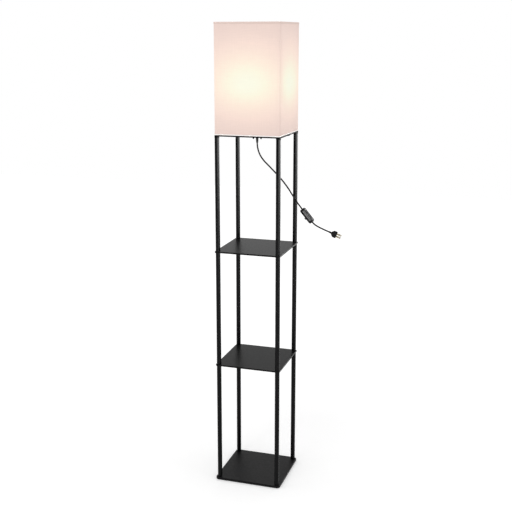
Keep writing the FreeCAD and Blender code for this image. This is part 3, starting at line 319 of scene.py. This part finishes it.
def weave(tree):
    """The height of a plain weave whose threads run round the shade and up it."""
    x, y, z = place_parts(tree)
    turn = 2.0 * math.pi / THREAD_PITCH
    warp = calc(tree, "SINE", calc(tree, "MULTIPLY", calc(tree, "ADD", x, y), turn))
    weft = calc(tree, "SINE", calc(tree, "MULTIPLY", z, turn))
    return calc(tree, "MULTIPLY_ADD", calc(tree, "MULTIPLY", warp, weft), 0.5, 0.5)


def painted_wire_shadow(tree):
    """The painted shadow of the wire that stands behind the cloth at each corner: the share of the painted glow
    left there.
    """
    x, y, _ = place_parts(tree)
    reach = calc(tree, "MINIMUM", calc(tree, "ABSOLUTE", x), calc(tree, "ABSOLUTE", y))
    return between(tree, reach, FACE - WIRE_FAR, FACE - WIRE_NEAR, 1.0, WIRE_SHADOW_SHARE)


def cloth_material(name, base, glow):
    """White cloth whose light from the bulb inside is painted into its emission by place, its threads uneven in
    thickness.
    """
    made, tree, shader = new_material(
        name, Roughness=0.85, Sheen_Weight=0.15, Specular_IOR_Level=0.12, Emission_Strength=1.0
    )
    slub_up = noise(tree, 60.0, 3.0, (14.0, 14.0, 0.5))
    slub_round = noise(tree, 60.0, 3.0, (0.5, 0.5, 14.0))
    slubs = calc(tree, "MULTIPLY", calc(tree, "ADD", slub_up, slub_round), 0.5)
    threads = ramp(tree, slubs, [(0.30, (0.93, 0.93, 0.93)), (0.70, (1.0, 1.0, 1.0))])
    feed(tree, shader.inputs["Base Color"], blend_colour(tree, 1.0, base, threads, "MULTIPLY"))
    # painted glow of the bulb through the cloth, dimmed by the painted shadows of the corner wires
    light = ramp(tree, calc(tree, "MULTIPLY", painted_glow_share(tree), painted_wire_shadow(tree)), glow)
    feed(tree, shader.inputs["Emission Color"], blend_colour(tree, 1.0, light, threads, "MULTIPLY"))
    height = calc(tree, "MULTIPLY_ADD", slubs, 0.6, calc(tree, "MULTIPLY", weave(tree), 0.4))
    relief(tree, shader, height, 0.00012)
    return made


def edging_material():
    """The foot's edging: its lowest fold is nearly white, and above it the cloth's painted glow shows through."""
    made, tree, shader = new_material(
        "shade_trim", Roughness=0.8, Sheen_Weight=0.15, Specular_IOR_Level=0.3, Emission_Strength=1.0
    )
    _, _, z = place_parts(tree)
    rise = calc(tree, "SUBTRACT", z, CLOTH_FOOT)
    above = between(tree, rise, EDGING_FOLD * 0.8, EDGING_FOLD * 1.3, 0.0, 1.0)
    colour = blend_colour(tree, above, (0.86, 0.84, 0.82), (0.54, 0.48, 0.46))
    feed(tree, shader.inputs["Base Color"], colour)
    # the edging's painted glow, from the bulb inside
    light = blend_colour(tree, above, (0.22, 0.20, 0.19), (0.27, 0.17, 0.14))
    feed(tree, shader.inputs["Emission Color"], light)
    relief(tree, shader, noise(tree, 700.0, 2.0, (1.0, 1.0, 0.4)), 0.00008)
    return made


def opal_material():
    """A lit opal globe, a little brighter round its middle than at its neck."""
    made, tree, shader = new_material(
        "bulb_glass", Roughness=0.18, Coat_Weight=0.5, Coat_Roughness=0.05, Emission_Strength=0.75
    )
    colour = blend_colour(tree, noise(tree, 40.0), (0.80, 0.77, 0.71), (0.84, 0.81, 0.76))
    feed(tree, shader.inputs["Base Color"], colour)
    _, _, z = place_parts(tree)
    rise = between(tree, z, GLOBE_NECK, GLOBE_BRIGHT, 0.0, 1.0)
    feed(tree, shader.inputs["Emission Color"], ramp(tree, rise, [
        (0.0, (0.55, 0.40, 0.26)),
        (1.0, (1.0, 0.90, 0.72)),
    ]))
    return made


def switch_directions():
    """The switch's directions: towards the plug, along the rocker's pin, and out through the ribbed
    shell."""
    along = (Vector(LOWER_ROUTE[0]) - Vector(UPPER_ROUTE[-1])).normalized()
    across = Vector(frame["joints"][0]["axis"])
    return along, across, across.cross(along).normalized()


def grip_highlight_material():
    """The switch's ribbed shell: black at its ends, with a painted grey highlight between that is palest at its
    seam, and painted shade in the grooves between the ribs.
    """
    made, tree, shader = new_material("switch_grip_highlight", Roughness=0.5, Specular_IOR_Level=0.2)
    middle = (Vector(LOWER_ROUTE[0]) + Vector(UPPER_ROUTE[-1])) / 2
    apart = vector_calc(tree, "SUBTRACT", place(tree), middle)["Vector"]
    run, side, rise = [
        vector_calc(tree, "DOT_PRODUCT", apart, way)["Value"] for way in switch_directions()
    ]
    reach = calc(tree, "ABSOLUTE", run)
    inside = between(tree, reach, GRIP_REACH - GRIP_FADE, GRIP_REACH, 1.0, 0.0)
    groove = SWITCH_SIDE - RIB_DEPTH
    rib = SWITCH_SIDE - RIB_DEPTH * 0.6
    # painted shade in the grooves, painted highlight on the ribs
    rib_highlight_share = between(tree, calc(tree, "ABSOLUTE", side), groove, rib, GROOVE_SHARE, 1.0)
    near_seam_highlight = between(tree, rise, SEAM_HIGHLIGHT, SEAM_HIGHLIGHT * 1.8, 1.0, 0.0)
    speckle = noise(tree, 1600.0, 3.0)
    grey = blend_colour(tree, speckle, (0.15, 0.15, 0.152), (0.18, 0.18, 0.182))
    # the painted highlight, palest beside the seam
    highlight_panel = blend_colour(tree, near_seam_highlight, grey, (0.42, 0.42, 0.422))
    shown = calc(tree, "MULTIPLY", inside, rib_highlight_share)
    feed(tree, shader.inputs["Base Color"], blend_colour(tree, shown, (0.005, 0.005, 0.0055), highlight_panel))
    relief(tree, shader, speckle, 0.00003)
    return made


def cord_material():
    """The cord's black jacket, with a fine grain."""
    return mottled("cord_black", (0.004, 0.004, 0.0045), (0.007, 0.007, 0.0075), (0.40, 0.52), 500.0,
                   0.00002, Specular_IOR_Level=0.1)


def make_materials():
    """Every material by its name: its slot's, but for frame_paint, switch_grip_highlight and shade_head_trim."""
    made = {
        "post_paint": mottled("post_paint", (0.0018, 0.0018, 0.002), (0.003, 0.003, 0.0033),
                              (0.225, 0.245), 400.0, 0.000002, Specular_IOR_Level=0.10),
        "frame_paint": mottled("frame_paint", (0.003, 0.003, 0.0033), (0.005, 0.005, 0.0055),
                               (0.60, 0.68), 700.0, 0.00001, Specular_IOR_Level=0.02),
        "base_paint": mottled("base_paint", (0.0045, 0.0042, 0.0046), (0.0065, 0.0062, 0.0066),
                              (0.44, 0.52), 700.0, 0.00003, Specular_IOR_Level=0.12),
        "shelf_paint": mottled("shelf_paint", (0.006, 0.006, 0.006), (0.009, 0.009, 0.009),
                               (0.30, 0.36), 700.0, 0.00002, Specular_IOR_Level=0.055),
        "felt": felt_material(),
        "zinc_steel": brushed("zinc_steel", (0.50, 0.50, 0.51), (0.62, 0.62, 0.62), (0.28, 0.42),
                              (1.0, 1.0, 6.0)),
        "black_screw": mottled("black_screw", (0.004, 0.004, 0.0045), (0.008, 0.008, 0.0085),
                               (0.34, 0.46), 1500.0, 0.00001, Specular_IOR_Level=0.15),
        "column_steel": mottled("column_steel", (0.70, 0.69, 0.66), (0.74, 0.73, 0.70), (0.30, 0.42),
                                900.0, 0.00004),
        "holder_plastic": mottled("holder_plastic", (0.72, 0.71, 0.68), (0.76, 0.75, 0.72), (0.38, 0.50),
                                  1500.0, 0.00003),
        "ceramic": mottled("ceramic", (0.70, 0.68, 0.62), (0.76, 0.74, 0.69), (0.25, 0.45), 1200.0,
                           0.00003),
        "brass": brushed("brass", (0.60, 0.51, 0.33), (0.72, 0.63, 0.44), (0.25, 0.38), (1.0, 1.0, 5.0)),
        "nickel_cap": brushed("nickel_cap", (0.52, 0.51, 0.48), (0.66, 0.64, 0.61), (0.25, 0.36),
                              (1.0, 1.0, 8.0)),
        "bulb_glass": opal_material(),
        "white_steel": mottled("white_steel", (0.70, 0.69, 0.66), (0.75, 0.74, 0.71), (0.35, 0.48),
                               900.0, 0.00004),
        "cord_black": cord_material(),
        "switch_black": mottled("switch_black", (0.004, 0.004, 0.0045), (0.007, 0.007, 0.0075),
                                (0.40, 0.50), 1600.0, 0.00003, Specular_IOR_Level=0.15),
        "switch_grip_highlight": grip_highlight_material(),
        "rocker_grey": mottled("rocker_grey", (0.30, 0.30, 0.30), (0.35, 0.35, 0.35), (0.38, 0.50),
                               1600.0, 0.00003),
    }
    # the shade's painted glow, from where it is dimmest to where it is brightest
    made["shade_fabric"] = cloth_material("shade_fabric", (0.50, 0.45, 0.43), [
        (0.05, (0.34, 0.22, 0.19)),
        (0.28, (0.50, 0.35, 0.28)),
        (0.55, (0.56, 0.45, 0.33)),
        (0.80, (0.54, 0.54, 0.38)),
        (1.00, (0.53, 0.57, 0.42)),
    ])
    made["shade_trim"] = edging_material()
    # the head's edging, with a dimmer painted glow
    made["shade_head_trim"] = cloth_material("shade_head_trim", (0.56, 0.50, 0.47), [
        (0.05, (0.24, 0.14, 0.11)),
        (1.00, (0.30, 0.20, 0.16)),
    ])
    return made


def dress_nodes(materials):
    """Each CAD node takes the material of its slot. Three take one of their own: the ribbed shell of
    the switch, with its painted highlight, and the top frame and its strap, whose paint is matt."""
    slots = {part["node"]: part["material_slot"] for part in frame["record"]["subparts"]}
    slots["switch_back_shell"] = "switch_grip_highlight"
    slots["top_frame"] = "frame_paint"
    slots["cross_strap"] = "frame_paint"
    for name, thing in frame["nodes"].items():
        thing.data.materials.clear()
        thing.data.materials.append(materials[slots[name]])


# ---------------------------------------------------------------- pieces


def finish_piece(thing, material, slot_name, *replaced, body="lamp"):
    """Puts the piece in the scene, on its body and with its material, and hides the nodes it replaces."""
    bpy.context.scene.collection.objects.link(thing)
    thing.data.materials.append(material)
    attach(thing, body)
    if replaced:
        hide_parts(*replaced)
    return thing


def join_rings(mesh, near_rings, far_rings):
    """Faces between each ring of points and the one that follows it."""
    for near, far in zip(near_rings, far_rings):
        for index in range(len(near)):
            after = (index + 1) % len(near)
            mesh.faces.new((near[index], far[index], far[after], near[after]))


def close_ends(mesh, rings):
    """A face over the first ring and one over the last."""
    mesh.faces.new(rings[0])
    mesh.faces.new(rings[-1])


def object_from(name, mesh):
    """An object made of the finished mesh, whose faces are turned outwards."""
    bmesh.ops.recalc_face_normals(mesh, faces=mesh.faces)
    data = bpy.data.meshes.new(name)
    mesh.to_mesh(data)
    mesh.free()
    return bpy.data.objects.new(name, data)


def square_line(half, corner):
    """Points, outward directions and runs round a square with rounded corners."""
    line = []
    straight = half - corner
    run = 0.0
    for quarter in range(4):
        turn = quarter * math.pi / 2
        ahead = Vector((math.cos(turn), math.sin(turn), 0.0))
        out = Vector((math.sin(turn), -math.cos(turn), 0.0))
        for step in range(SIDE_STEPS):
            share = step / SIDE_STEPS
            spot = out * half + ahead * straight * (2 * share - 1)
            line.append((spot, out, run + 2 * straight * share))
        run += 2 * straight
        centre = (out + ahead) * straight
        for step in range(CORNER_STEPS):
            angle = step / CORNER_STEPS * math.pi / 2
            way = out * math.cos(angle) + ahead * math.sin(angle)
            line.append((centre + way * corner, way, run + corner * angle))
        run += corner * math.pi / 2
    return line, run


def swept_square(name, profile, half, corner, shift=None):
    """A closed profile of (out, height) points carried round a rounded square."""
    line, around = square_line(half, corner)
    mesh = bmesh.new()
    rings = []
    for point, way, run in line:
        ring = []
        for out, height in profile:
            extra = shift(run / around, height) if shift else 0.0
            spot = point + way * (out + extra) + Vector((0.0, 0.0, height))
            ring.append(mesh.verts.new(spot))
        rings.append(ring)
    join_rings(mesh, rings, rings[1:] + rings[:1])
    made = object_from(name, mesh)
    for face in made.data.polygons:
        face.use_smooth = True
    return made


def cloth_shift(share, height):
    """The cloth draws in a little between its frames and puckers along its hems."""
    level = (height - CLOTH_FOOT) / (CLOTH_HEAD - CLOTH_FOOT)
    from_corner = math.sin(math.pi * ((share * 4) % 1.0))
    bow = -CLOTH_BOW * math.sin(math.pi * level) * from_corner
    near_hem = math.exp(-level / PUCKER_FADE) + math.exp(-(1 - level) / PUCKER_FADE)
    turn = share * 2 * math.pi
    fine = FINE_SHARE * math.sin(turn * FINE_PUCKERS + FINE_START)
    folds = math.sin(turn * COARSE_PUCKERS) + fine
    return bow + CLOTH_PUCKER * folds * near_hem * from_corner


def make_cloth(materials):
    """The shade's cloth, one wall that goes all the way round."""
    height = CLOTH_HEAD - CLOTH_FOOT
    levels = [CLOTH_FOOT + height * row / CLOTH_ROWS for row in range(CLOTH_ROWS + 1)]
    profile = [(0.0, level) for level in levels]
    profile += [(-CLOTH_WALL, level) for level in reversed(levels)]
    cloth = swept_square("shade_cloth", profile, FACE, CLOTH_CORNER, cloth_shift)
    return finish_piece(cloth, materials["shade_fabric"], "shade_fabric", "shade_fabric")


def hem_profile(low, high):
    """A flat rolled edging whose outside bulges and whose edges are round."""
    middle = (low + high) / 2
    half = (high - low) / 2
    outside = []
    inside = []
    for step in range(HEM_STEPS + 1):
        angle = math.pi * step / HEM_STEPS
        bulge = HEM_BULGE * math.sin(angle)
        rise = HEM_RISE * math.sin(angle) ** 0.35 + bulge - HEM_SINK
        outside.append((rise, middle - half * math.cos(angle)))
        sink = HEM_SINK * (1.0 - math.sin(angle))
        inside.append((sink - CLOTH_WALL, middle + half * math.cos(angle)))
    return outside + inside


def make_hem(name, low, high, replaced, material):
    """The edging that binds one end of the cloth."""
    hem = swept_square(name, hem_profile(low, high), FACE, CLOTH_CORNER)
    return finish_piece(hem, material, "shade_trim", replaced)


def make_seam(materials):
    """The strip where the ends of the cloth overlap, beside the back-left corner."""
    mesh = bmesh.new()
    low = CLOTH_FOOT + HEM_HEIGHT
    high = CLOTH_HEAD - HEM_HEIGHT
    start = -FACE + CLOTH_CORNER + SEAM_INSET
    rings = []
    for row in range(SEAM_ROWS + 1):
        level = low + (high - low) * row / SEAM_ROWS
        wander = sum(reach * math.sin(row * pace) for reach, pace in SEAM_WANDER)
        ring = []
        for across, rise in SEAM_SECTION:
            along = start + across * (SEAM_WIDTH + wander)
            ring.append(mesh.verts.new((along, FACE + rise, level)))
        rings.append(ring)
    join_rings(mesh, rings, rings[1:])
    close_ends(mesh, rings)
    seam = object_from("shade_seam", mesh)
    return finish_piece(seam, materials["shade_fabric"], "shade_fabric")


def collar_profile():
    """A collar's section, as radii and levels: bevelled outside, and sunk into its post."""
    top = POST_TOP - COLLAR_GAP
    low = top - COLLAR_HEIGHT
    return [
        (POST_RADIUS - COLLAR_SINK, top),
        (POST_RADIUS + COLLAR_RISE * 0.7, top),
        (POST_RADIUS + COLLAR_RISE, top - UPPER_BEVEL),
        (POST_RADIUS + COLLAR_RISE, low + LOWER_BEVEL),
        (POST_RADIUS + COLLAR_RISE * 0.4, low),
        (POST_RADIUS - COLLAR_SINK, low),
    ]


def make_collars(materials):
    """A thin collar round the head of each post, under the top frame."""
    mesh = bmesh.new()
    for across, back in ((-1, -1), (1, -1), (1, 1), (-1, 1)):
        rings = []
        for side in range(COLLAR_SIDES):
            angle = 2 * math.pi * side / COLLAR_SIDES
            ring = []
            for radius, level in collar_profile():
                x = across * POST_OFFSET + radius * math.cos(angle)
                y = back * POST_OFFSET + radius * math.sin(angle)
                ring.append(mesh.verts.new((x, y, level)))
            rings.append(ring)
        join_rings(mesh, rings, rings[1:] + rings[:1])
    collars = object_from("post_collars", mesh)
    for face in collars.data.polygons:
        face.use_smooth = abs(face.normal.z) < 0.3
    return finish_piece(collars, materials["post_paint"], "post_paint")


def make_rocker_pad(materials):
    """A raised pad with round edges on the rocker's high end, which turns with the rocker."""
    pivot = Vector(frame["joints"][0]["pos_m"])
    along, across, out = switch_directions()
    middle = Vector(PAD_MIDDLE)
    mesh = bmesh.new()
    rings = []
    for step in range(PAD_STEPS + 1):
        side = math.cos(math.pi * step / PAD_STEPS)
        size = 1.0 - PAD_NARROWING * abs(side) ** PAD_ROUNDING
        centre = pivot + across * PAD_HALF * side
        ring = []
        for corner in PAD_OUTLINE:
            run, rise = middle + (Vector(corner) - middle) * size
            ring.append(mesh.verts.new(centre + along * run - out * rise))
        rings.append(ring)
    join_rings(mesh, rings, rings[1:])
    close_ends(mesh, rings)
    pad = object_from("switch_rocker_pad", mesh)
    return finish_piece(pad, materials["rocker_grey"], "rocker_grey", body="rocker")


def make_cord(name, route, replaced, materials):
    """A length of cord that follows its route smoothly."""
    data = bpy.data.curves.new(name, "CURVE")
    data.dimensions = "3D"
    data.bevel_depth = CORD_WIDTH / 2
    data.bevel_resolution = 6
    data.resolution_u = 24
    data.use_fill_caps = True
    spline = data.splines.new("NURBS")
    spline.points.add(len(route) - 1)
    for point, spot in zip(spline.points, route):
        point.co = (*spot, 1.0)
    spline.order_u = 3
    spline.use_endpoint_u = True
    cord = bpy.data.objects.new(name, data)
    return finish_piece(cord, materials["cord_black"], "cord_black", replaced)


# ---------------------------------------------------------------- stage, light and camera


def seen_by_eye(tree):
    """1 where the camera, a reflection or glass shows the surface, and 0 where it only lights."""
    rays = node(tree, "ShaderNodeLightPath")
    shown = calc(tree, "MAXIMUM", rays.outputs["Is Camera Ray"], rays.outputs["Is Glossy Ray"])
    return calc(tree, "MAXIMUM", shown, rays.outputs["Is Transmission Ray"])


def floor_material():
    """Pale, and lifted towards white, less near the lamp, so that its shadow stays."""
    made, tree, shader = new_material("floor", Roughness=0.9, Specular_IOR_Level=0.1)
    tone = blend_colour(tree, noise(tree, 2.0), (0.83, 0.83, 0.83), (0.86, 0.86, 0.86))
    feed(tree, shader.inputs["Base Color"], tone)
    feed(tree, shader.inputs["Emission Color"], WHITE)
    apart = vector_calc(tree, "LENGTH", place(tree))["Value"]
    lift = between(tree, apart, *FLOOR_RANGE, *FLOOR_LIFT)
    feed(tree, shader.inputs["Emission Strength"], calc(tree, "MULTIPLY", seen_by_eye(tree), lift))
    return made


def make_floor():
    """A plain pale floor that renders white and keeps the lamp's shadow."""
    mesh = bmesh.new()
    bmesh.ops.create_grid(mesh, x_segments=2, y_segments=2, size=FLOOR_HALF)
    data = bpy.data.meshes.new("floor")
    mesh.to_mesh(data)
    mesh.free()
    floor = bpy.data.objects.new("floor", data)
    bpy.context.scene.collection.objects.link(floor)
    data.materials.append(floor_material())


def mirrored_level(tree):
    """The surround as shiny surfaces see it: white behind, dark in front, and a low bright card far
    to the right."""
    way = node(tree, "ShaderNodeTexCoord").outputs["Generated"]
    x, y, z = node(tree, "ShaderNodeSeparateXYZ", {0: way}).outputs
    behind = between(tree, y, *ROOM_BACK, ROOM_LEVEL, 1.0)
    right = between(tree, x, *CARD_RIGHT, 0.0, CARD_LEVEL)
    over = between(tree, z, *CARD_FOOT, 0.0, 1.0)
    under = between(tree, z, *CARD_HEAD, 1.0, 0.0)
    card = calc(tree, "MULTIPLY", right, calc(tree, "MULTIPLY", over, under))
    return calc(tree, "ADD", behind, card)


def make_world():
    """A white surround to look at, and an even light that is less bright than it looks. Shiny
    surfaces see another surround."""
    world = bpy.data.worlds.new("studio")
    world.use_nodes = True
    tree = world.node_tree
    tree.nodes.clear()
    change = calc(tree, "SUBTRACT", mirrored_level(tree), 1.0)
    glossy = node(tree, "ShaderNodeLightPath").outputs["Is Glossy Ray"]
    level = calc(tree, "MULTIPLY_ADD", glossy, change, 1.0)
    shown = node(tree, "ShaderNodeBackground", {"Color": WHITE, "Strength": level})
    even = node(tree, "ShaderNodeBackground", {"Color": WHITE, "Strength": EVEN_LIGHT})
    feeds = {0: seen_by_eye(tree), 1: even.outputs[0], 2: shown.outputs[0]}
    mixed = node(tree, "ShaderNodeMixShader", feeds)
    node(tree, "ShaderNodeOutputWorld", {0: mixed.outputs[0]})
    bpy.context.scene.world = world


def make_softbox(name, spot, aim, size, power):
    """A soft rectangular lamp at a spot, turned to what it lights."""
    data = bpy.data.lights.new(name, "AREA")
    data.shape = "RECTANGLE"
    data.size, data.size_y = size
    data.energy = power
    lamp = bpy.data.objects.new(name, data)
    lamp.location = spot
    lamp.rotation_euler = (Vector(aim) - Vector(spot)).to_track_quat("-Z", "Y").to_euler()
    bpy.context.scene.collection.objects.link(lamp)


def make_lights():
    """A small lamp low on the right, and larger ones high in front, on the left and overhead."""
    make_softbox("key_light", (2.2, -0.8, 0.95), (0.0, 0.0, 0.95), (0.9, 0.2), 2.5)
    make_softbox("front_light", (-0.6, -3.0, 3.0), (0.0, 0.0, 1.2), (1.8, 1.2), 21.0)
    make_softbox("fill_light", (-2.4, -1.0, 2.2), (0.0, 0.0, 1.0), (1.6, 1.2), 8.0)
    make_softbox("top_light", (0.2, 0.1, 3.4), (0.0, 0.0, 0.8), (1.6, 1.6), 16.0)


def make_camera():
    """The photograph's view, from the front and to the right, a little below the shade's top."""
    data = bpy.data.cameras.new("camera")
    data.sensor_width = CAMERA_SENSOR
    data.lens = CAMERA_LENS
    data.shift_y = CAMERA_SHIFT
    camera = bpy.data.objects.new("camera", data)
    camera.location = CAMERA_PLACE
    camera.rotation_euler = (math.radians(90.0 - CAMERA_DIP), 0.0, math.radians(CAMERA_TURN))
    bpy.context.scene.collection.objects.link(camera)
    bpy.context.scene.camera = camera


# ---------------------------------------------------------------- the scene

bpy.context.scene.view_settings.view_transform = "Standard"
make_camera()
make_world()
make_lights()
make_floor()

materials = make_materials()
dress_nodes(materials)

upper_cord = make_cord("cord_upper_line", UPPER_ROUTE, "cord_upper", materials)
lower_cord = make_cord("cord_lower_line", LOWER_ROUTE, "cord_lower", materials)

cloth = make_cloth(materials)
foot_hem = make_hem("shade_hem_foot", CLOTH_FOOT, CLOTH_FOOT + HEM_HEIGHT, "shade_bottom_trim",
                    materials["shade_trim"])
head_hem = make_hem("shade_hem_head", CLOTH_HEAD - HEM_HEIGHT, CLOTH_HEAD, "shade_top_trim",
                    materials["shade_head_trim"])
seam = make_seam(materials)
make_collars(materials)
make_rocker_pad(materials)
